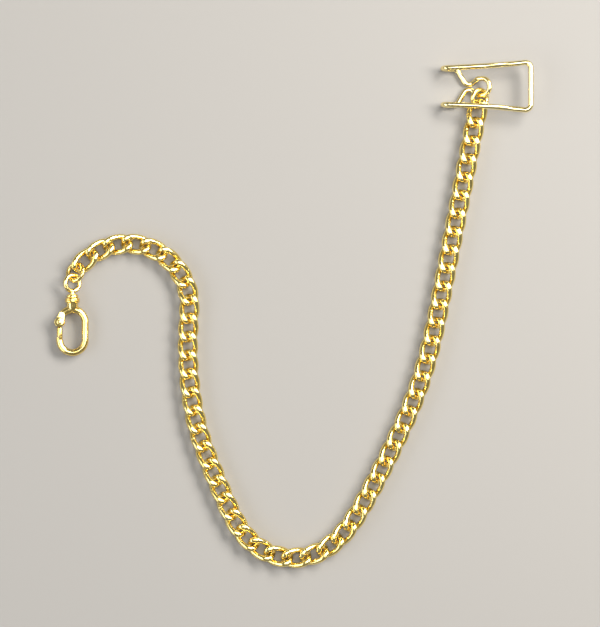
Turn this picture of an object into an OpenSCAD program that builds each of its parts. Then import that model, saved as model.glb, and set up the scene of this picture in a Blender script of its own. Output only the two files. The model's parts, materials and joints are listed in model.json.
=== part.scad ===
// Pocket watch chain: a curb chain with a wire vest clip at one end and a swivel
// clasp for the watch at the other, laid flat in the swag that it hangs in when worn.
// +Y runs up the wearer's front, +X across it towards the clip, +Z out of the cloth.
// The origin is the middle of the laid-out chain, on the surface that it lies on.

/* [Chain] */
// Number of curb links
link_count = 52; // [40:1:52]
// Length that one link adds to the chain
pitch = 4.8; // [4.7:0.05:5]
// Width of the chain
link_w = 5.4; // [5.35:0.05:5.6]
// Diameter of the link wire
wire_d = 1.5; // [1.3:0.02:1.5]
// Twist of each end of a link out of the link's middle plane, in degrees
end_twist = 53; // [52:1:56]
// Gap between two wires that hook each other
play = 0.16; // [0.12:0.02:0.2]

/* [Jump rings] */
// Diameter of the hole in a jump ring
ring_hole = 3.4; // [3.2:0.05:3.8]
// Diameter of the jump ring wire
ring_wire_d = 1.1; // [1:0.05:1.2]
// Diameter of the hole in the clip's eye and in the swivel's eye
eye_hole = 3; // [2.8:0.05:3.2]
// Tilt of the rings and of the clip's eye, in degrees
ring_tilt = 32; // [30:1:34]

/* [Vest clip] */
// Diameter of the clip wire
clip_wire_d = 1.4; // [1.1:0.05:1.5]
// Length from the fold to the bar that closes the front bow
clip_l = 21; // [20:0.1:24]
// Width of the front bow at the closing bar, between the wire's middles
clip_w = 12.6; // [12:0.1:16]
// Width of the front bow at the fold, between the wire's middles
fold_w = 9.4; // [9:0.1:12]
// Room for cloth between the front bow and the back wires
cloth_gap = 1.8; // [1.7:0.1:2.5]
// Rise of the front bow above the fold at its middle
bow_rise = 1.2; // [1:0.1:1.4]
// Distance from the fold to the middle of the eye
eye_x = 8.5; // [8.3:0.1:9.5]

/* [Swivel clasp] */
// Diameter of the swivel barrel
barrel_d = 3.8; // [3.6:0.1:4.2]
// Diameter of the hook wire
hook_wire_d = 1.8; // [1.6:0.1:2]
// Width of the opening inside the hook
hook_gap = 4.8; // [4.6:0.1:5.2]
// Length of the opening inside the hook
hook_l = 9.4; // [9:0.1:11]
// Diameter of the gate's pivot pin
pin_d = 0.76; // [0.6:0.02:0.9]

/* [Hidden] */
// Radii
wire_r = wire_d / 2;
ring_wire_r = ring_wire_d / 2;
ring_r = ring_hole / 2 + ring_wire_r;
clip_r = clip_wire_d / 2;
eye_r = eye_hole / 2 + clip_r;
swivel_r = eye_hole / 2 + ring_wire_r;
barrel_r = barrel_d / 2;
hook_r = hook_wire_d / 2;
pin_r = pin_d / 2;

// Link centre line: half length, half width, and how square its oval is
link_a = pitch / 2 + wire_r + play / 2;
link_b = link_w / 2 - wire_r;
link_square = 4;
link_rings = 20;
link_facets = 8;

// Height of the middle of each kind of piece above the surface that it lies on
ring_z = ring_r * sin(ring_tilt) + ring_wire_r;
eye_z = eye_r * sin(ring_tilt) + clip_r;
swivel_z = swivel_r * sin(ring_tilt) + ring_wire_r;
clasp_z = max(barrel_r, swivel_z);

// The chain's route from the clip on: runs of links, and how far each link turns
// from the one before it, with left turns above zero
route = [
    [12, 0], [1, -2], [1, -1], [4, -2.5], [5, -1], [1, -4], [1, -8], [1, -12],
    [5, -17], [1, -12], [1, -6], [3, -1], [3, -4], [4, -3], [1, 0], [8, 17]
];
first_heading = -101;
ring_turn = 18;
clasp_turn = 29;

// Swivel clasp, measured along its axis from the middle of the swivel's eye
shank_r = 0.65;
bore_r = 0.72;
barrel_start = 2.9;
neck_l = 1.3;
cavity_l = 1.3;
cavity_r = 1.15;
head_r = 1.05;
head_l = 1;
hook_turn_r = hook_gap / 2 + hook_r;
barrel_end = barrel_start + neck_l + cavity_l + 1.7;
hook_start_x = barrel_end - 0.4 + hook_turn_r;
hook_end_x = hook_start_x + hook_l - hook_gap;

// Gate, measured from its pivot
pivot = [hook_start_x, -hook_turn_r, 0];
gate_r = 0.75;
gate_bar_start = 1.45;
lap = 0.8;
gate_bar_end = hook_end_x - hook_start_x - lap;
knuckle_r = 1;
knuckle_h = 0.7;
slot_h = 1.6;
cheek_r = 1.3;
cheek_h = 0.5;
grip = slot_h + 2 * cheek_h;
web_end = [-1.7, 0.46, 0];
fit_gap = 0.04;
spring_r = 0.62;
spring_wire_r = 0.08;
spring_turns = 3;
spring_rise = 0.18;

link_color = "#e2b33c";
ring_color = "#d9a935";
clip_color = "#ecc65a";
clasp_color = "#dcae3a";
gate_color = "#c9992c";
spring_color = "#b8b8bc";

function unit(v) = v / norm(v);
function dir(heading) = [cos(heading), sin(heading), 0];
function lift(p, z) = [p[0], p[1], z];

// ---- Route ----
turns = [for (run = route) for (k = [1 : run[0]]) run[1]];

// Heading of link k, where link 0 is the jump ring on the clip
function heading(k) = k == 0 ? first_heading : heading(k - 1) + turns[k - 1];
headings = [for (k = [0 : link_count]) heading(k)];

// How far rings and eyes reach from their middles to the wire that hooks them
ring_reach = ring_hole / 2 - play / 2;
eye_reach = eye_hole / 2 - play / 2;
clip_eye = [eye_x, 0, 0];
ring_joint = clip_eye + eye_reach * dir(first_heading);
clip_ring_at = ring_joint + ring_reach * dir(first_heading);
chain_start = clip_ring_at + ring_reach * dir(first_heading);

// Where link k hooks link k + 1
function joint(k) = k == 0 ? chain_start : joint(k - 1) + pitch * dir(headings[k]);
joints = [for (k = [0 : link_count]) joint(k)];
function link_at(k) = lift((joints[k - 1] + joints[k]) / 2, link_z);

end_ring_heading = headings[link_count] + ring_turn;
end_ring_at = joints[link_count] + ring_reach * dir(end_ring_heading);
clasp_joint = end_ring_at + ring_reach * dir(end_ring_heading);
clasp_heading = end_ring_heading + clasp_turn;
clasp_at = clasp_joint + eye_reach * dir(clasp_heading);

// ---- Tubes ----
// Direction of a path at each of its points
function tangents(path, closed) =
    let (n = len(path))
    [for (i = [0 : n - 1])
        let (before = closed ? (i + n - 1) % n : max(i - 1, 0))
        let (after = closed ? (i + 1) % n : min(i + 1, n - 1))
        let (back = before == i ? [0, 0, 0] : unit(path[i] - path[before]))
        let (ahead = after == i ? [0, 0, 0] : unit(path[after] - path[i]))
        unit(back + ahead)];

// Carries a sideways direction along a path without twisting it
function carried(t, side, i = 0) =
    i == len(t) ? [] :
    let (here = unit(side - (side * t[i]) * t[i]))
    concat([here], carried(t, here, i + 1));

// Corners of a round wire of radius r along a path, with one sideways direction per point
function tube_points(path, t, across, r, facets) =
    [for (i = [0 : len(path) - 1]) for (j = [0 : facets - 1])
        let (a = 360 * (j + 0.5) / facets)
        path[i] + r * (cos(a) * across[i] + sin(a) * cross(t[i], across[i]))];

// Closed skin over rings of corners
module skin(points, facets, closed = true) {
    n = len(points) / facets;
    last = closed ? n - 1 : n - 2;
    walls = [for (i = [0 : last]) for (j = [0 : facets - 1])
        let (next = (i + 1) % n, k = (j + 1) % facets)
        each [[i * facets + j, next * facets + k, i * facets + k],
              [i * facets + j, next * facets + j, next * facets + k]]];
    ends = closed ? [] : [
        [for (j = [0 : facets - 1]) j],
        [for (j = [facets - 1 : -1 : 0]) (n - 1) * facets + j]];
    polyhedron(points = points, faces = concat(walls, ends));
}

// ---- Curb link ----
// Centre line at angle a: a squared oval that twists along its length
function link_line(a) =
    let (reach = pow(pow(abs(cos(a)) / link_a, link_square)
                   + pow(abs(sin(a)) / link_b, link_square), -1 / link_square))
    let (x = reach * cos(a), y = reach * sin(a), twist = -end_twist * x / link_a)
    [x, y * cos(twist), y * sin(twist)];

link_path = [for (i = [0 : link_rings - 1]) link_line(360 * i / link_rings)];
link_tangents = tangents(link_path, true);
link_across = [for (t = link_tangents) unit(cross([0, 0, 1], t))];
link_points = tube_points(link_path, link_tangents, link_across, wire_r, link_facets);
link_z = -min([for (p = link_points) p[2]]);

module curb_link(k) {
    color(link_color)
        placed(link_at(k), headings[k])
            skin(link_points, link_facets);
}

// ---- Vest clip: one wire, folded so that the front bow presses on the back wires ----
fold_r = (cloth_gap + clip_wire_d) / 2;
fold_top = clip_r + 2 * fold_r;
neck_y = clip_r + 0.05;
clip_facets = 10;

// Half width of the front bow at a distance from the fold: it flares mostly near the bar
bow_flare = 1.5;
function bow_y(x) = (fold_w + (clip_w - fold_w) * pow(x / clip_l, bow_flare)) / 2;

// A point on the eye's tilted plane, s along the tilt and y across it
function on_eye(s, y) = [eye_x + s * cos(ring_tilt), y, eye_z + s * sin(ring_tilt)];

// Corners of the wire on the +Y side, from the closing bar to the eye, with bend radii
clip_corners = [
    [[clip_l, bow_y(clip_l), fold_top + 0.4], 1.5],
    [[clip_l - 5, bow_y(clip_l - 5), fold_top - 0.1], 14],
    [[clip_l * 0.44, bow_y(clip_l * 0.44), fold_top + bow_rise], 26],
    [[-fold_r, fold_w / 2, fold_top], fold_r],
    [[-fold_r, fold_w / 2, clip_r], fold_r],
    [[2, fold_w / 2, clip_r], 1.8],
    [[eye_x - 4.2, neck_y, clip_r], 1.3],
    [[eye_x - 2.7, neck_y, clip_r], 0.8],
    [on_eye(-1.2, eye_r), 1],
    [on_eye(eye_r, eye_r), eye_r * 0.98]
];
clip_loop = concat(
    clip_corners,
    [for (i = [len(clip_corners) - 1 : -1 : 0])
        [[clip_corners[i][0][0], -clip_corners[i][0][1], clip_corners[i][0][2]],
         clip_corners[i][1]]]);

// Arc that rounds the corner at p, between the corners before and after it
function bend(before, p, after, r) =
    let (u = unit(before - p), v = unit(after - p), half = acos(u * v) / 2)
    let (centre = p + unit(u + v) * r / sin(half))
    let (from = p + u * r / tan(half) - centre, to = p + v * r / tan(half) - centre)
    let (turn = 180 - 2 * half, steps = max(1, round(turn / 16)))
    [for (i = [0 : steps])
        let (a = turn * i / steps)
        centre + (sin(turn - a) * from + sin(a) * to) / sin(turn)];

clip_path = [for (i = [0 : len(clip_loop) - 1])
    let (n = len(clip_loop))
    each bend(clip_loop[(i + n - 1) % n][0], clip_loop[i][0],
              clip_loop[(i + 1) % n][0], clip_loop[i][1])];
clip_tangents = tangents(clip_path, true);
clip_across = carried(clip_tangents, [0, 0, 1]);
clip_points = tube_points(clip_path, clip_tangents, clip_across, clip_r, clip_facets);

module belt_clip() {
    color(clip_color)
        placed([0, 0, 0], 0)
            skin(clip_points, clip_facets);
}

// ---- Jump rings ----
module torus(r, wire) {
    rotate_extrude($fn = 48) translate([r, 0]) circle(r = wire, $fn = 24);
}

module clip_ring() {
    color(ring_color)
        placed(lift(clip_ring_at, ring_z), first_heading)
            rotate([-ring_tilt, 0, 0]) torus(ring_r, ring_wire_r);
}

module end_ring() {
    color(ring_color)
        placed(lift(end_ring_at, ring_z), end_ring_heading)
            rotate([ring_tilt, 0, 0]) torus(ring_r, ring_wire_r);
}

// ---- Swivel clasp ----
module along_x(x) {
    translate([x, 0, 0]) rotate([0, 90, 0]) children();
}

module in_clasp() {
    placed(lift(clasp_at, clasp_z), clasp_heading) children();
}

module swivel_eye() {
    shank_l = barrel_start + neck_l - swivel_r + 0.15;
    color(ring_color) in_clasp() {
        rotate([-ring_tilt, 0, 0]) torus(swivel_r, ring_wire_r);
        along_x(swivel_r) cylinder(r = shank_r, h = shank_l + 0.1, $fn = 32);
        along_x(swivel_r + shank_l) cylinder(r = head_r, h = head_l, $fn = 32);
    }
}

// Turned outline of the barrel, as radius and distance along the axis
module barrel() {
    along_x(barrel_start) rotate_extrude($fn = 48) polygon([
        [0, 0], [1.25, 0], [1.5, 0.25], [1.5, 0.8], [barrel_r - 0.15, 0.95],
        [barrel_r, 1.15], [barrel_r, 1.95], [barrel_r - 0.15, 2.15], [1.5, 2.3],
        [1.5, 3.3], [1.1, barrel_end - barrel_start], [0, barrel_end - barrel_start]]);
}

module half_turn(x, start) {
    translate([x, 0, 0]) rotate([0, 0, start])
        rotate_extrude(angle = 180, $fn = 64)
            translate([hook_turn_r, 0]) circle(r = hook_r, $fn = 32);
}

module clasp_body() {
    side_l = hook_end_x - hook_start_x;
    color(clasp_color) in_clasp() difference() {
        union() {
            barrel();
            half_turn(hook_start_x, 90);
            half_turn(hook_end_x, -90);
            translate([0, hook_turn_r, 0])
                along_x(hook_start_x) cylinder(r = hook_r, h = side_l, $fn = 32);
            translate([0, -hook_turn_r, 0])
                along_x(hook_end_x - lap + 0.15) cylinder(r = hook_r, h = lap, $fn = 32);
            // Cheeks that carry the pin, and the web that joins them to the hook's bend
            translate(pivot) {
                cylinder(r = cheek_r, h = grip, center = true, $fn = 48);
                hull() {
                    cylinder(r = cheek_r - 0.15, h = grip - 0.3, center = true, $fn = 48);
                    translate(web_end) cylinder(r = hook_r, h = grip - 0.6, center = true, $fn = 48);
                }
            }
        }
        along_x(barrel_start - 1) cylinder(r = bore_r, h = neck_l + 1.1, $fn = 32);
        along_x(barrel_start + neck_l) cylinder(r = cavity_r, h = cavity_l, $fn = 32);
        translate(pivot) {
            cylinder(r = pin_r, h = 5, center = true, $fn = 32);
            translate([0.12, 0, 0]) cube([2.54, 4, slot_h], center = true);
            translate([gate_bar_end - 0.05, -0.05, -2]) cube([lap + 0.05, 2, 4]);
        }
    }
}

module clasp_pin() {
    color(ring_color) in_clasp() translate(pivot) {
        cylinder(r = pin_r, h = grip + 0.2, center = true, $fn = 32);
        for (side = [-1, 1]) translate([0, 0, side * (grip / 2 + 0.07)])
            cylinder(r = pin_r + 0.2, h = 0.14, center = true, $fn = 32);
    }
}

module clasp_gate() {
    knuckle_z = -slot_h / 2 + 0.08;
    color(gate_color) in_clasp() translate(pivot) difference() {
        union() {
            translate([0, 0, knuckle_z]) cylinder(r = knuckle_r, h = knuckle_h, $fn = 48);
            translate([0, -0.55, knuckle_z]) cube([gate_bar_start + 0.3, 1.1, knuckle_h]);
            along_x(gate_bar_start) cylinder(r = gate_r, h = gate_bar_end - gate_bar_start, $fn = 32);
            intersection() {
                along_x(gate_bar_end - 0.1) cylinder(r = gate_r, h = lap, $fn = 32);
                translate([0, 0.05, -2]) cube([gate_bar_end + lap, 2, 4]);
            }
        }
        cylinder(r = pin_r + fit_gap, h = 5, center = true, $fn = 32);
    }
}

// Torsion spring round the pin: one leg lies along the gate, the other on the slot's wall
spring_z = 0.12;
spring_steps = 12;
spring_top = spring_z + spring_rise * spring_turns;
spring_path = concat(
    [[-0.9, spring_r, spring_z]],
    [for (i = [0 : spring_turns * spring_steps])
        let (a = 90 - 360 * i / spring_steps)
        [spring_r * cos(a), spring_r * sin(a), spring_z + spring_rise * i / spring_steps]],
    [[gate_bar_start + 1.4, spring_r - 0.08, spring_top]]);

module clasp_spring() {
    t = tangents(spring_path, false);
    across = carried(t, [0, 0, 1]);
    color(spring_color) in_clasp() translate(pivot)
        skin(tube_points(spring_path, t, across, spring_wire_r, 6), 6, closed = false);
}

// ---- Placing: the box around the laid-out chain is centred on the origin ----
function turned(p, at, heading) =
    at + [p[0] * cos(heading) - p[1] * sin(heading),
          p[0] * sin(heading) + p[1] * cos(heading), p[2]];
pivot_at = turned(pivot, clasp_at, clasp_heading);
outline = concat(
    [for (k = [1 : link_count]) for (p = link_points) turned(p, link_at(k), headings[k])],
    clip_points,
    [pivot_at - [cheek_r, 0, 0]]);
middle = [for (axis = [0, 1])
    (min([for (p = outline) p[axis]]) + max([for (p = outline) p[axis]])) / 2];

module placed(at, heading) {
    translate([at[0] - middle[0], at[1] - middle[1], at[2]]) rotate([0, 0, heading]) children();
}

function link_name(k) = str("link_", k < 10 ? "0" : "", k);

belt_clip();
clip_ring();
for (k = [1 : link_count]) curb_link(k);
end_ring();
swivel_eye();
clasp_body();
clasp_gate();
clasp_pin();
clasp_spring();
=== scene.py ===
"""Pocket watch chain: every link, ring, clip and clasp piece, rebuilt finely on the CAD frame."""
import json
import math
import random

import bmesh
import bpy
from mathutils import Matrix, Vector


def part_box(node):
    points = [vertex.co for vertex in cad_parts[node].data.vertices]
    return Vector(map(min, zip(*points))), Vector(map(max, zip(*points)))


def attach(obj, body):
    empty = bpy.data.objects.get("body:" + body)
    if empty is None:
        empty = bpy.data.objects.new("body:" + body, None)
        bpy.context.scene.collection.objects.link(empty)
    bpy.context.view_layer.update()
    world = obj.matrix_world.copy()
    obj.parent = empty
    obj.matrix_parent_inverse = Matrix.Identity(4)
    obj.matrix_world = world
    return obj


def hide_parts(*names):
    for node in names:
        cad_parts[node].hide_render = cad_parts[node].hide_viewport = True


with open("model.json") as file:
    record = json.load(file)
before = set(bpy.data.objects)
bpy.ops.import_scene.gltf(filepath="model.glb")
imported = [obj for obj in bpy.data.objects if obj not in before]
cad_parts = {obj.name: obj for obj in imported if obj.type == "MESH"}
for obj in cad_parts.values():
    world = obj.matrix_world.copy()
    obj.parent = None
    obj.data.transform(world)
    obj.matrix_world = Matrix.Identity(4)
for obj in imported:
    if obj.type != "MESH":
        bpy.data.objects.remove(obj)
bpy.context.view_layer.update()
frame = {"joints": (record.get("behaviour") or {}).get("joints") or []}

MM = 0.001
Z = Vector((0, 0, 1))

# ---- The CAD model's sizes, in millimetres ----
PITCH, LINK_W, WIRE_R, PLAY = 4.8, 5.4, 0.75, 0.16
END_TWIST = 53
RING_HOLE, RING_WIRE_R, EYE_HOLE, TILT = 3.4, 0.55, 3.0, 32
CLIP_R, CLIP_L, CLIP_W, FOLD_W, BOW_FLARE = 0.7, 21, 12.6, 9.4, 1.5
CLOTH_GAP, BOW_RISE, EYE_X = 1.8, 1.2, 8.5
LINK_A = PITCH / 2 + WIRE_R + PLAY / 2
LINK_B = LINK_W / 2 - WIRE_R
LINK_SQUARE = 4

# The link's wire is a little thinner than the CAD's, whose corners stand out
FINE_WIRE_R = 0.735
FILED = 0.16
SEAM_DEPTH, SEAM_HALF = 0.05, 0.09
LINK_STEPS, LINK_FACETS = 88, 24
RING_STEPS, RING_FACETS, SAW_DEPTH, SAW_HALF = 96, 28, 0.07, 0.06
# How much thinner the clip's wire is throughout, and where the ring has worn its eye
CLIP_EASE, EYE_WEAR, WEAR_REACH, CLIP_FACETS = 0.005, 0.05, 3, 24


# ---- Materials ----
def node_of(tree, kind, at=(0, 0), **settings):
    node = tree.nodes.new(kind)
    node.location = at
    for name, value in settings.items():
        setattr(node, name, value)
    return node


def ramp_of(tree, stops, at):
    """A colour ramp through (position, colour) stops."""
    node = node_of(tree, "ShaderNodeValToRGB", at)
    elements = node.color_ramp.elements
    while len(elements) < len(stops):
        elements.new(0.5)
    for element, (position, colour) in zip(elements, stops):
        element.position = position
        element.color = (*colour, 1)
    return node


def mix_colour(tree, factor, a, b, at):
    node = node_of(tree, "ShaderNodeMix", at, data_type="RGBA")
    for socket, value in ((node.inputs[0], factor), (node.inputs[6], a), (node.inputs[7], b)):
        if isinstance(value, bpy.types.NodeSocket):
            tree.links.new(value, socket)
        elif isinstance(value, tuple):
            socket.default_value = (*value, 1)
        else:
            socket.default_value = value
    return node.outputs[2]


def metal(name, bright, deep, grime_and_shade, rough=(0.12, 0.24), bump=0.06):
    """Plated or drawn metal: cloudy tone, dirt and painted shade from a vertex attribute, and fine
    scratches.
    """
    material = bpy.data.materials.new(name)
    material.use_nodes = True
    tree = material.node_tree
    shader = tree.nodes["Principled BSDF"]
    shader.inputs["Metallic"].default_value = 1
    place = node_of(tree, "ShaderNodeTexCoord", (-1500, 0))
    link = tree.links.new

    cloud = node_of(tree, "ShaderNodeTexNoise", (-1200, 300))
    cloud.inputs["Scale"].default_value = 420
    cloud.inputs["Detail"].default_value = 5
    link(place.outputs["Object"], cloud.inputs["Vector"])
    tone = ramp_of(tree, [(0.32, deep), (0.62, bright)], (-950, 300))
    link(cloud.outputs["Fac"], tone.inputs["Fac"])

    # Dirt, tarnish and painted shade darken where the vertex attribute says, broken up by a finer
    # noise
    dirt_and_shade = node_of(tree, "ShaderNodeAttribute", (-1200, -50), attribute_name="grime_and_shade")
    speck = node_of(tree, "ShaderNodeTexNoise", (-1200, -250))
    speck.inputs["Scale"].default_value = 2600
    speck.inputs["Detail"].default_value = 3
    link(place.outputs["Object"], speck.inputs["Vector"])
    broken = node_of(tree, "ShaderNodeMath", (-950, -100), operation="MULTIPLY_ADD")
    link(speck.outputs["Fac"], broken.inputs[0])
    broken.inputs[1].default_value = 0.7
    broken.inputs[2].default_value = -0.35
    dirt_and_shade_broken = node_of(tree, "ShaderNodeMath", (-750, -50), operation="ADD", use_clamp=True)
    link(dirt_and_shade.outputs["Fac"], dirt_and_shade_broken.inputs[0])
    link(broken.outputs[0], dirt_and_shade_broken.inputs[1])
    kept = node_of(tree, "ShaderNodeMath", (-560, -50), operation="MULTIPLY", use_clamp=True)
    link(dirt_and_shade.outputs["Fac"], kept.inputs[0])
    link(dirt_and_shade_broken.outputs[0], kept.inputs[1])
    link(mix_colour(tree, kept.outputs[0], tone.outputs["Color"], grime_and_shade, (-350, 200)),
         shader.inputs["Base Color"])

    # Fine scratches, drawn out along the row's X and Y in two crossing sets
    scratches = []
    for turn, at in ((0.5, -450), (2.1, -700)):
        mapping = node_of(tree, "ShaderNodeMapping", (-1200, at))
        mapping.inputs["Rotation"].default_value = (0.2, 0.1, turn)
        mapping.inputs["Scale"].default_value = (1300, 16000, 16000)
        link(place.outputs["Object"], mapping.inputs["Vector"])
        streak = node_of(tree, "ShaderNodeTexNoise", (-950, at))
        streak.inputs["Scale"].default_value = 1
        streak.inputs["Detail"].default_value = 2
        link(mapping.outputs["Vector"], streak.inputs["Vector"])
        scratches.append(streak.outputs["Fac"])
    crossed = node_of(tree, "ShaderNodeMath", (-750, -550), operation="MULTIPLY")
    link(scratches[0], crossed.inputs[0])
    link(scratches[1], crossed.inputs[1])
    level = node_of(tree, "ShaderNodeMapRange", (-560, -450))
    level.inputs["From Min"].default_value = 0.12
    level.inputs["From Max"].default_value = 0.42
    level.inputs["To Min"].default_value = rough[0]
    level.inputs["To Max"].default_value = rough[1]
    link(crossed.outputs[0], level.inputs["Value"])
    rougher = node_of(tree, "ShaderNodeMath", (-350, -350), operation="MULTIPLY_ADD")
    link(kept.outputs[0], rougher.inputs[0])
    rougher.inputs[1].default_value = 0.3
    link(level.outputs["Result"], rougher.inputs[2])
    link(rougher.outputs[0], shader.inputs["Roughness"])
    relief = node_of(tree, "ShaderNodeBump", (-350, -600))
    relief.inputs["Strength"].default_value = bump
    relief.inputs["Distance"].default_value = 0.00002
    link(crossed.outputs[0], relief.inputs["Height"])
    link(relief.outputs["Normal"], shader.inputs["Normal"])
    return material


# Dark brown, mixed in for both dirt and painted shade
GRIME_AND_SHADE_COLOUR = (0.22, 0.11, 0.03)
chain_gold = metal("chain_gold_plate", (1.0, 0.83, 0.33), (0.97, 0.73, 0.22), GRIME_AND_SHADE_COLOUR)
ring_gold = metal("ring_gold_plate", (0.99, 0.79, 0.31), (0.93, 0.67, 0.20), GRIME_AND_SHADE_COLOUR)
clip_gold = metal("clip_gold_plate", (1.0, 0.87, 0.46), (0.97, 0.78, 0.32), GRIME_AND_SHADE_COLOUR)
clasp_gold = metal("clasp_gold_plate", (0.99, 0.78, 0.29), (0.92, 0.65, 0.18), GRIME_AND_SHADE_COLOUR)
spring_steel = metal("spring_wire", (0.66, 0.66, 0.68), (0.48, 0.48, 0.50), (0.07, 0.06, 0.05),
                     rough=(0.22, 0.4))


# ---- Meshes ----
def stand_in(name, vertices, faces, material, body, grime_and_shade=None, crisp=False):
    """A piece that replaces the CAD node of the same name. vertices are in row metres."""
    mesh = bpy.data.meshes.new(name)
    mesh.from_pydata(vertices, [], faces)
    mesh.validate()
    shape = bmesh.new()
    shape.from_mesh(mesh)
    bmesh.ops.recalc_face_normals(shape, faces=shape.faces)
    shape.to_mesh(mesh)
    shape.free()
    mesh.polygons.foreach_set("use_smooth", [True] * len(mesh.polygons))
    # The attribute holds dirt and painted shade, which the material darkens by
    dirt_and_shade = mesh.attributes.new("grime_and_shade", "FLOAT", "POINT")
    dirt_and_shade.data.foreach_set("value", grime_and_shade or [0.0] * len(vertices))
    mesh.materials.append(material)
    piece = bpy.data.objects.new(name + "_fine", mesh)
    bpy.context.scene.collection.objects.link(piece)
    if crisp:
        mesh.set_sharp_from_angle(angle=math.radians(38))
        piece.modifiers.new("even_normals", "WEIGHTED_NORMAL").keep_sharp = True
    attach(piece, body)
    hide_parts(name)
    return piece


def loose(vertices, faces):
    """A working solid in millimetres, for the booleans below."""
    mesh = bpy.data.meshes.new("working")
    mesh.from_pydata([tuple(v) for v in vertices], [], faces)
    shape = bmesh.new()
    shape.from_mesh(mesh)
    bmesh.ops.recalc_face_normals(shape, faces=shape.faces)
    shape.to_mesh(mesh)
    shape.free()
    solid = bpy.data.objects.new("working", mesh)
    bpy.context.scene.collection.objects.link(solid)
    return solid


def applied(solid):
    """solid with its modifiers made real."""
    ready = solid.evaluated_get(bpy.context.evaluated_depsgraph_get())
    mesh = bpy.data.meshes.new_from_object(ready)
    solid.modifiers.clear()
    solid.data = mesh
    return solid


def combine(solid, tool, operation):
    modifier = solid.modifiers.new("combine", "BOOLEAN")
    modifier.operation, modifier.solver, modifier.object = operation, "EXACT", tool
    applied(solid)
    bpy.data.objects.remove(tool)
    return solid


def softened(solid, width, segments=2):
    """solid with its hard edges rounded."""
    modifier = solid.modifiers.new("soften", "BEVEL")
    modifier.width, modifier.segments = width, segments
    modifier.limit_method, modifier.angle_limit = "ANGLE", math.radians(40)
    return applied(solid)


def taken(solid):
    """Corners and faces of a working solid, which is then removed."""
    corners = [v.co.copy() for v in solid.data.vertices]
    faces = [tuple(p.vertices) for p in solid.data.polygons]
    bpy.data.objects.remove(solid)
    return corners, faces


def turned(profile, segments=72, axis="X", at=(0, 0, 0)):
    """A turned solid from (distance along the axis, radius) points that start and end on it."""
    corners = []
    for along, radius in profile[1:-1]:
        for j in range(segments):
            a = 2 * math.pi * j / segments
            corners.append(Vector((along, radius * math.cos(a), radius * math.sin(a))))
    rows = len(profile) - 2
    faces = [(i * segments + j, i * segments + (j + 1) % segments,
              (i + 1) * segments + (j + 1) % segments, (i + 1) * segments + j)
             for i in range(rows - 1) for j in range(segments)]
    corners += [Vector((profile[0][0], 0, 0)), Vector((profile[-1][0], 0, 0))]
    first, last = len(corners) - 2, len(corners) - 1
    faces += [(first, (j + 1) % segments, j) for j in range(segments)]
    faces += [(last, (rows - 1) * segments + j, (rows - 1) * segments + (j + 1) % segments)
              for j in range(segments)]
    if axis == "Z":
        corners = [Vector((c.z, c.y, c.x)) for c in corners]
    return [c + Vector(at) for c in corners], faces


def rod(start, end, radius, axis="X", at=(0, 0, 0), segments=64):
    return turned([(start, 0), (start, radius), (end, radius), (end, 0)], segments, axis, at)


def brick(low, high):
    corners = [Vector((x, y, z)) for x in (low[0], high[0]) for y in (low[1], high[1])
               for z in (low[2], high[2])]
    return corners, [(0, 1, 3, 2), (4, 6, 7, 5), (0, 4, 5, 1), (2, 3, 7, 6), (0, 2, 6, 4),
                     (1, 5, 7, 3)]


def tangents(path, closed=True):
    n = len(path)
    out = []
    for i in range(n):
        back = path[i] - path[i - 1] if closed or i else path[1] - path[0]
        ahead = path[(i + 1) % n] - path[i] if closed or i < n - 1 else path[-1] - path[-2]
        out.append((back.normalized() + ahead.normalized()).normalized())
    return out


def carried(ways, side):
    """A sideways direction taken along a path without twisting."""
    out = []
    for way in ways:
        side = (side - side.dot(way) * way).normalized()
        out.append(side)
    return out


def tube(path, across, radii, facets, closed=True):
    """Corners and faces of a round wire, and the outward direction at each corner."""
    ways = tangents(path, closed)
    corners, outward = [], []
    for point, way, side, radius in zip(path, ways, across, radii):
        other = way.cross(side)
        for j in range(facets):
            a = 2 * math.pi * (j + 0.5) / facets
            out = side * math.cos(a) + other * math.sin(a)
            corners.append(point + out * radius)
            outward.append(out)
    n = len(path)
    faces = [(i * facets + j, ((i + 1) % n) * facets + j,
              ((i + 1) % n) * facets + (j + 1) % facets, i * facets + (j + 1) % facets)
             for i in range(n if closed else n - 1) for j in range(facets)]
    if not closed:
        faces.append(tuple(reversed(range(facets))))
        faces.append(tuple(range((n - 1) * facets, n * facets)))
    return corners, faces, outward


def arc(centre, radius, start, stop, steps):
    """Points on an arc in the XY plane, with its angles in degrees."""
    angles = [math.radians(start + (stop - start) * i / steps) for i in range(steps + 1)]
    return [Vector((centre[0] + radius * math.cos(a), centre[1] + radius * math.sin(a), 0))
            for a in angles]


# ---- Curb links ----
def link_line(a):
    c, s = math.cos(a), math.sin(a)
    reach = (abs(c / LINK_A) ** LINK_SQUARE + abs(s / LINK_B) ** LINK_SQUARE) ** (-1 / LINK_SQUARE)
    x, y = reach * c, reach * s
    twist = math.radians(-END_TWIST * x / LINK_A)
    return Vector((x, y * math.cos(twist), y * math.sin(twist)))


def soft_limit(value, limit, soft=0.05):
    """value, held under limit with a small round edge."""
    return limit - soft * math.log1p(math.exp(min((limit - value) / soft, 60)))


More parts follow.
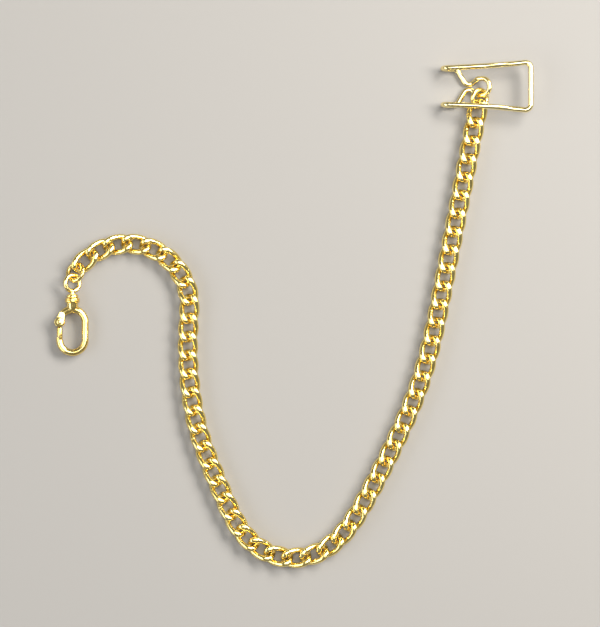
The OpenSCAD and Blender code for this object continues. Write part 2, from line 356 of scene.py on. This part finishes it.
def link_shape(k):
    """One link about its own middle: wire, solder seam on one rail, and two filed faces."""
    draw = random.Random(4100 + k)
    seam = math.radians((90 if k % 2 else 270) + draw.uniform(-6, 6))
    steps = [2 * math.pi * i / LINK_STEPS for i in range(LINK_STEPS)]
    steps += [seam + math.radians(d) for d in (-3.1, -1.6, 1.6, 3.1)]
    steps = sorted(a % (2 * math.pi) for a in steps)
    path = [link_line(a) for a in steps]
    ways = tangents(path)
    across = [Z.cross(way).normalized() for way in ways]
    middle = link_line(seam)
    wide = FINE_WIRE_R * draw.uniform(0.99, 1.0)
    radii = [wide - SEAM_DEPTH * math.exp(-((p - middle).length / SEAM_HALF) ** 2) for p in path]
    corners, faces, outward = tube(path, across, radii, LINK_FACETS)
    top = max(c.z for c in corners)
    cut = top - FILED * draw.uniform(0.8, 1.15)
    # Painted shade mixed with dirt: darker on the wire's inner faces, most towards the link's ends,
    # and on its lower half
    grime_and_shade = []
    for c, out in zip(corners, outward):
        inward = -(out.x * c.x / LINK_A + out.y * c.y / LINK_B)
        low = 1 - min(1, abs(c.z) / top)
        near_end = min(1, (abs(c.x) / LINK_A) ** 3)
        grime_and_shade.append(max(0, min(1, 0.6 * inward * (0.35 + 0.65 * near_end) + 0.2 * low * near_end)))
        c.z = math.copysign(soft_limit(abs(c.z), cut), c.z)
    return corners, faces, grime_and_shade


hinges = [j for j in frame["joints"] if j["name"].startswith("link_")]
ends = [Vector(j["pos_m"]) for j in hinges]
ends.append(Vector(next(j for j in frame["joints"] if j["name"] == "end_ring_lift")["pos_m"]))
for k, (start, end) in enumerate(zip(ends, ends[1:]), 1):
    name = "link_%02d" % k
    low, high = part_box(name)
    way = end - start
    spot = Vector(((start.x + end.x) / 2, (start.y + end.y) / 2, (low.z + high.z) / 2))
    turn = Matrix.Rotation(math.atan2(way.y, way.x), 3, "Z")
    corners, faces, grime_and_shade = link_shape(k)
    stand_in(name, [turn @ (c * MM) + spot for c in corners], faces, chain_gold, name,
             grime_and_shade)


# ---- The clip's wire ----
tilt = math.radians(TILT)
eye_r = EYE_HOLE / 2 + CLIP_R
eye_z = eye_r * math.sin(tilt) + CLIP_R
fold_r = (CLOTH_GAP + 2 * CLIP_R) / 2
fold_top = CLIP_R + 2 * fold_r
neck_y = CLIP_R + 0.05
# The CAD cuts straight across the bow's shallow arc, so the finer arc starts this much lower
BOW_EASE = 0.16


def bow_y(x):
    return (FOLD_W + (CLIP_W - FOLD_W) * (x / CLIP_L) ** BOW_FLARE) / 2


def on_eye(s, y):
    return (EYE_X + s * math.cos(tilt), y, eye_z + s * math.sin(tilt))


def bend(before, p, after, r):
    """Points on the arc that rounds the corner at p."""
    u, v = (before - p).normalized(), (after - p).normalized()
    half = math.acos(max(-1, min(1, u.dot(v)))) / 2
    centre = p + (u + v).normalized() * r / math.sin(half)
    start, stop = p + u * r / math.tan(half) - centre, p + v * r / math.tan(half) - centre
    turn = math.pi - 2 * half
    steps = max(3, round(math.degrees(turn) / 5))
    return [centre + (math.sin(turn * (1 - i / steps)) * start
                      + math.sin(turn * i / steps) * stop) / math.sin(turn)
            for i in range(steps + 1)]


side_corners = [
    ((CLIP_L, bow_y(CLIP_L), fold_top + 0.4), 1.5),
    ((CLIP_L - 5, bow_y(CLIP_L - 5), fold_top - 0.1), 14),
    ((CLIP_L * 0.44, bow_y(CLIP_L * 0.44), fold_top + BOW_RISE - BOW_EASE), 26),
    ((-fold_r, FOLD_W / 2, fold_top), fold_r),
    ((-fold_r, FOLD_W / 2, CLIP_R), fold_r),
    ((2, FOLD_W / 2, CLIP_R), 1.8),
    ((EYE_X - 4.2, neck_y, CLIP_R), 1.3),
    ((EYE_X - 2.7, neck_y, CLIP_R), 0.8),
    (on_eye(-1.2, eye_r), 1),
    (on_eye(eye_r, eye_r), eye_r * 0.98),
]
loop = side_corners + [((x, -y, z), r) for (x, y, z), r in reversed(side_corners)]
clip_path = []
for i, (p, r) in enumerate(loop):
    clip_path += bend(Vector(loop[i - 1][0]), Vector(p), Vector(loop[(i + 1) % len(loop)][0]), r)
clip_ways = tangents(clip_path)
clip_across = carried(clip_ways, Vector((0, 0, 1)))
# The ring has worn the eye's wire a little thinner
eye_middle = Vector((EYE_X, 0, eye_z))
clip_radii = [CLIP_R - CLIP_EASE
              - EYE_WEAR * max(0, min(1, 2 - (p - eye_middle).length / WEAR_REACH))
              for p in clip_path]
corners, faces, outward = tube(clip_path, clip_across, clip_radii, CLIP_FACETS)
clip_low, clip_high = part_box("belt_clip")
shift = clip_high.x - (CLIP_L + CLIP_R) * MM
clip_at = Vector((shift, (clip_low.y + clip_high.y) / 2, 0))
grime_and_shade = [0.55 * max(0, 1 - (c - eye_middle).length / 4) for c in corners]
stand_in("belt_clip", [c * MM + clip_at for c in corners], faces, clip_gold, "belt_clip",
         grime_and_shade)


# ---- Jump rings ----
def joint_at(name):
    return Vector(next(j for j in frame["joints"] if j["name"] == name)["pos_m"])


def hoop(radius, tilted, saw_cut):
    """A wire ring about its own middle, tilted about X, with a fine saw cut at an angle."""
    angles = sorted([2 * math.pi * i / RING_STEPS for i in range(RING_STEPS)]
                    + [math.radians(saw_cut + d) for d in (-1.5, -0.6, 0.6, 1.5)])
    path = [Vector((radius * math.cos(a), radius * math.sin(a), 0)) for a in angles]
    at = math.radians(saw_cut)
    cut = Vector((radius * math.cos(at), radius * math.sin(at), 0))
    radii = [RING_WIRE_R - SAW_DEPTH * math.exp(-((p - cut).length / SAW_HALF) ** 2) for p in path]
    corners, faces, outward = tube(path, [Z] * len(path), radii, RING_FACETS)
    # Painted shade mixed with dirt: darker on the ring's inner face, most where its neighbours pass
    # through
    grime_and_shade = [max(0, -out.dot(c.normalized())) * 0.55 * (c.x / radius) ** 2
             for c, out in zip(corners, outward)]
    turn = Matrix.Rotation(math.radians(tilted), 3, "X")
    return [turn @ c for c in corners], faces, grime_and_shade


ring_r = RING_HOLE / 2 + RING_WIRE_R
for name, first, second, tilted, cut in (
        ("clip_ring", "clip_ring_swing", "link_01_lift", -TILT, 78),
        ("end_ring", "end_ring_lift", "end_ring_side", TILT, 108)):
    low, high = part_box(name)
    way = joint_at(second) - joint_at(first)
    turn = Matrix.Rotation(math.atan2(way.y, way.x), 3, "Z")
    corners, faces, grime_and_shade = hoop(ring_r, tilted, cut)
    stand_in(name, [turn @ (c * MM) + (low + high) / 2 for c in corners], faces, ring_gold, name,
             grime_and_shade)

# ---- Swivel clasp, in millimetres along its axis from the middle of the swivel's eye ----
SHANK_R, BORE_R, BARREL_AT, NECK_L, CAVITY_L, CAVITY_R = 0.65, 0.72, 2.9, 1.3, 1.3, 1.15
HEAD_R, HEAD_L, BARREL_R, HOOK_R, HOOK_GAP, HOOK_L = 1.05, 1, 1.9, 0.9, 4.8, 9.4
BARREL_L = NECK_L + CAVITY_L + 1.7
BEND_R = HOOK_GAP / 2 + HOOK_R
HOOK_AT = BARREL_AT + BARREL_L - 0.4 + BEND_R
HOOK_END = HOOK_AT + HOOK_L - HOOK_GAP
PIVOT = Vector((HOOK_AT, -BEND_R, 0))
GATE_R, GATE_AT, LAP = 0.75, 1.45, 0.8
GATE_END = HOOK_END - HOOK_AT - LAP
SLOT_H, CHEEK_R, CHEEK_H, PIN_R, PIN_GAP = 1.6, 1.3, 0.5, 0.38, 0.04
GRIP = SLOT_H + 2 * CHEEK_H
KNUCKLE_R, KNUCKLE_LOW, KNUCKLE_HIGH = 1, -0.72, -0.02
WEB_END = PIVOT + Vector((-1.7, 0.46, 0))

swivel = next(j for j in frame["joints"] if j["name"] == "clasp_swivel")
clasp_at = Vector(swivel["pos_m"])
clasp_turn = Matrix.Rotation(math.atan2(swivel["axis"][1], swivel["axis"][0]), 3, "Z")


def on_clasp(corners):
    return [clasp_turn @ (c * MM) + clasp_at for c in corners]


def dirt_near(corners, spots):
    """Grime that fades with distance from (place, reach, amount) spots."""
    return [max([0.0] + [amount * max(0, 1 - (c - place).length / reach)
                         for place, reach, amount in spots]) for c in corners]


# The eye, its shank, and the head that the barrel holds
eye_ring_r = EYE_HOLE / 2 + RING_WIRE_R
corners, faces, grime_and_shade = hoop(eye_ring_r, -TILT, 180)
shank_end = BARREL_AT + NECK_L + 0.15
eye = combine(loose(corners, faces), loose(*turned([
    (eye_ring_r - 0.1, 0), (eye_ring_r - 0.1, 0.4), (eye_ring_r + 0.35, 0.62),
    (eye_ring_r + 0.55, SHANK_R), (shank_end, SHANK_R), (shank_end, HEAD_R - 0.08),
    (shank_end + 0.08, HEAD_R), (shank_end + HEAD_L - 0.25, HEAD_R),
    (shank_end + HEAD_L - 0.05, HEAD_R - 0.2), (shank_end + HEAD_L, 0)], 64)), "UNION")
corners, faces = taken(softened(eye, 0.05))
grime_and_shade = dirt_near(corners, [(Vector((eye_ring_r + 0.9, 0, 0)), 1.1, 0.75),
                            (Vector((-eye_ring_r + 0.5, 0, 0)), 1.1, 0.5)])
stand_in("swivel_eye", on_clasp(corners), faces, ring_gold, "swivel_eye", grime_and_shade, True)

# The barrel, with a milled collar between two turned beads
barrel_profile = [
    (0, 0), (0, 1.2), (0.06, 1.3), (0.2, 1.45), (0.34, 1.5), (0.66, 1.5), (0.72, 1.42),
    (0.8, 1.42), (0.86, 1.5), (0.95, BARREL_R - 0.2), (1.03, BARREL_R - 0.06), (1.14, BARREL_R),
    (1.3, BARREL_R), (1.36, BARREL_R - 0.07), (1.46, BARREL_R - 0.07), (1.52, BARREL_R),
    (1.6, BARREL_R), (1.66, BARREL_R - 0.07), (1.76, BARREL_R - 0.07), (1.82, BARREL_R),
    (1.94, BARREL_R), (2.06, BARREL_R - 0.06), (2.15, BARREL_R - 0.16), (2.26, 1.55),
    (2.4, 1.5), (3.2, 1.48), (3.5, 1.42), (3.9, 1.28), (4.2, 1.12), (4.3, 0.95), (4.3, 0)]
body = loose(*turned([(BARREL_AT + x, r) for x, r in barrel_profile], 96))

# The hook: one wire from the pivot round to the nose, thicker at its root
path = (arc((HOOK_AT, 0), BEND_R, 270, 90, 40)
        + [Vector((HOOK_AT + (HOOK_END - HOOK_AT) * i / 10, BEND_R, 0)) for i in range(1, 10)]
        + arc((HOOK_END, 0), BEND_R, 90, -90, 40)
        + [Vector((HOOK_END - (LAP - 0.15) * i / 3, -BEND_R, 0)) for i in range(1, 4)])
root = Vector((HOOK_AT - BEND_R, 0, 0))
radii = [HOOK_R + 0.1 * math.exp(-((p - root).length / 1.6) ** 2) for p in path]
corners, faces, outward = tube(path, [Z] * len(path), radii, 36, closed=False)
combine(body, loose(corners, faces), "UNION")

# Cheeks for the pin, and the web that runs back into the hook's bend
cheek_profile = [(-GRIP / 2, 0), (-GRIP / 2, CHEEK_R - 0.12), (-GRIP / 2 + 0.04, CHEEK_R - 0.04),
                 (-GRIP / 2 + 0.12, CHEEK_R), (GRIP / 2 - 0.12, CHEEK_R),
                 (GRIP / 2 - 0.04, CHEEK_R - 0.04), (GRIP / 2, CHEEK_R - 0.12), (GRIP / 2, 0)]
combine(body, loose(*turned(cheek_profile, 72, "Z", PIVOT)), "UNION")
hull = bmesh.new()
for middle, radius, half in ((PIVOT, CHEEK_R - 0.15, GRIP / 2 - 0.15),
                             (WEB_END, HOOK_R, GRIP / 2 - 0.3)):
    for z in (-half, half):
        for j in range(48):
            a = 2 * math.pi * j / 48
            hull.verts.new(middle + Vector((radius * math.cos(a), radius * math.sin(a), z)))
bmesh.ops.convex_hull(hull, input=hull.verts)
hull.verts.index_update()
web = ([v.co.copy() for v in hull.verts], [tuple(v.index for v in f.verts) for f in hull.faces])
hull.free()
combine(body, loose(*web), "UNION")

nose = PIVOT + Vector((GATE_END, 0, 0))
for tool in (rod(BARREL_AT - 1, BARREL_AT + NECK_L + 0.1, BORE_R),
             rod(BARREL_AT + NECK_L, BARREL_AT + NECK_L + CAVITY_L, CAVITY_R),
             rod(-2.5, 2.5, PIN_R, "Z", PIVOT, 48),
             brick(PIVOT + Vector((-1.15, -2, -SLOT_H / 2)), PIVOT + Vector((1.39, 2, SLOT_H / 2))),
             brick(nose + Vector((-0.05, -0.05, -2)), nose + Vector((LAP, 1.95, 2)))):
    combine(body, loose(*tool), "DIFFERENCE")
corners, faces = taken(softened(body, 0.05))
grime_and_shade = dirt_near(corners, [(PIVOT, 1.9, 0.8), (nose, 0.9, 0.6),
                            (Vector((BARREL_AT, 0, 0)), 1.4, 0.7),
                            (Vector((BARREL_AT + BARREL_L, 1.1, 0)), 0.9, 0.6),
                            (Vector((BARREL_AT + BARREL_L, -1.1, 0)), 0.9, 0.6)])
stand_in("clasp_body", on_clasp(corners), faces, clasp_gold, "clasp_body", grime_and_shade,
         True)

# The gate: knuckle, neck, bar, and the tongue that laps the hook's nose
gate = loose(*rod(KNUCKLE_LOW, KNUCKLE_HIGH, KNUCKLE_R, "Z", PIVOT, 72))
combine(gate, loose(*brick(PIVOT + Vector((0, -0.55, KNUCKLE_LOW)),
                           PIVOT + Vector((GATE_AT + 0.3, 0.55, KNUCKLE_HIGH)))), "UNION")
combine(gate, loose(*turned([
    (GATE_AT, 0), (GATE_AT, GATE_R - 0.14), (GATE_AT + 0.05, GATE_R - 0.04),
    (GATE_AT + 0.16, GATE_R),
    (GATE_END - 0.05, GATE_R), (GATE_END, GATE_R - 0.05), (GATE_END, 0)], 64, "X", PIVOT)), "UNION")
tongue = combine(loose(*rod(GATE_END - 0.1, GATE_END - 0.1 + LAP, GATE_R - 0.02, "X", PIVOT)),
                 loose(*brick(PIVOT + Vector((0, 0.05, -2)), PIVOT + Vector((9, 2, 2)))),
                 "INTERSECT")
combine(gate, tongue, "UNION")
combine(gate, loose(*rod(-2.5, 2.5, PIN_R + PIN_GAP, "Z", PIVOT, 48)), "DIFFERENCE")
corners, faces = taken(softened(gate, 0.04))
grime_and_shade = dirt_near(corners, [(PIVOT, 1.7, 0.8), (nose, 0.8, 0.5)])
stand_in("clasp_gate", on_clasp(corners), faces, clasp_gold, "clasp_gate", grime_and_shade,
         True)

# The pin, with its two ends riveted over
head_low, head_high = GRIP / 2, GRIP / 2 + 0.14
half_pin = [(head_low, PIN_R), (head_low, PIN_R + 0.2), (head_low + 0.05, PIN_R + 0.19),
            (head_low + 0.1, PIN_R + 0.1), (head_high, PIN_R - 0.1), (head_high, 0)]
corners, faces = turned([(-x, r) for x, r in reversed(half_pin)] + half_pin, 48, "Z", PIVOT)
grime_and_shade = dirt_near(corners, [(PIVOT + Vector((0, 0, z)), 0.7, 0.6) for z in (-head_low, head_low)])
stand_in("clasp_pin", on_clasp(corners), faces, ring_gold, "clasp_body", grime_and_shade, True)

# The gate's torsion spring
SPRING_R, SPRING_WIRE_R, SPRING_TURNS, SPRING_RISE, SPRING_Z = 0.62, 0.08, 3, 0.18, 0.12
coil = [Vector((SPRING_R * math.cos(math.radians(90 - 360 * i / 36)),
                SPRING_R * math.sin(math.radians(90 - 360 * i / 36)),
                SPRING_Z + SPRING_RISE * i / 36))
        for i in range(SPRING_TURNS * 36 + 1)]
spring_path = ([Vector((-0.9, SPRING_R, SPRING_Z))] + coil
               + [Vector((GATE_AT + 1.4, SPRING_R - 0.08, SPRING_Z + SPRING_RISE * SPRING_TURNS))])
spring_across = carried(tangents(spring_path, closed=False), Z)
corners, faces, outward = tube([p + PIVOT for p in spring_path], spring_across,
                               [SPRING_WIRE_R] * len(spring_path), 12, closed=False)
stand_in("clasp_spring", on_clasp(corners), faces, spring_steel, "clasp_gate")

# ---- Floor, lights and camera ----
floor_mesh = bpy.data.meshes.new("floor")
FLOOR = 2
floor_mesh.from_pydata([(-FLOOR, -FLOOR, 0), (FLOOR, -FLOOR, 0), (FLOOR, FLOOR, 0),
                        (-FLOOR, FLOOR, 0)], [], [(0, 1, 2, 3)])
floor = bpy.data.objects.new("floor", floor_mesh)
bpy.context.scene.collection.objects.link(floor)
paper = bpy.data.materials.new("floor_paper")
paper.use_nodes = True
paper_shader = paper.node_tree.nodes["Principled BSDF"]
paper_shader.inputs["Base Color"].default_value = (0.33, 0.315, 0.295, 1)
paper_shader.inputs["Roughness"].default_value = 0.85
floor_mesh.materials.append(paper)


def softbox(name, at, size, power, aim=(0, 0, 0), colour=(1, 1, 1)):
    light = bpy.data.lights.new(name, "AREA")
    light.shape = "RECTANGLE"
    light.size, light.size_y = size
    light.energy = power
    light.color = colour
    lamp = bpy.data.objects.new(name, light)
    lamp.location = at
    lamp.rotation_euler = (Vector(aim) - Vector(at)).to_track_quat("-Z", "Y").to_euler()
    bpy.context.scene.collection.objects.link(lamp)


softbox("key", (0.42, 0.26, 0.44), (0.60, 0.24), 8, colour=(1, 0.97, 0.92))
softbox("overhead", (0.06, 0.10, 0.95), (0.42, 0.42), 3.8)
softbox("fill", (-0.50, -0.10, 0.36), (0.7, 0.3), 2.0, colour=(0.96, 0.98, 1))
world = bpy.data.worlds.new("studio")
world.use_nodes = True
world.node_tree.nodes["Background"].inputs["Color"].default_value = (0.95, 0.97, 1, 1)
world.node_tree.nodes["Background"].inputs["Strength"].default_value = 0.22
bpy.context.scene.world = world
bpy.context.scene.view_settings.view_transform = "Standard"

VIEW_HEIGHT, DISTANCE, SENSOR = 0.163, 0.75, 36
camera_data = bpy.data.cameras.new("camera")
camera_data.lens = SENSOR * DISTANCE / VIEW_HEIGHT
camera_data.sensor_width = SENSOR
camera_data.clip_start = 0.01
camera = bpy.data.objects.new("camera", camera_data)
camera.location = (0.0016, 0.0002, DISTANCE)
bpy.context.scene.collection.objects.link(camera)
bpy.context.scene.camera = camera
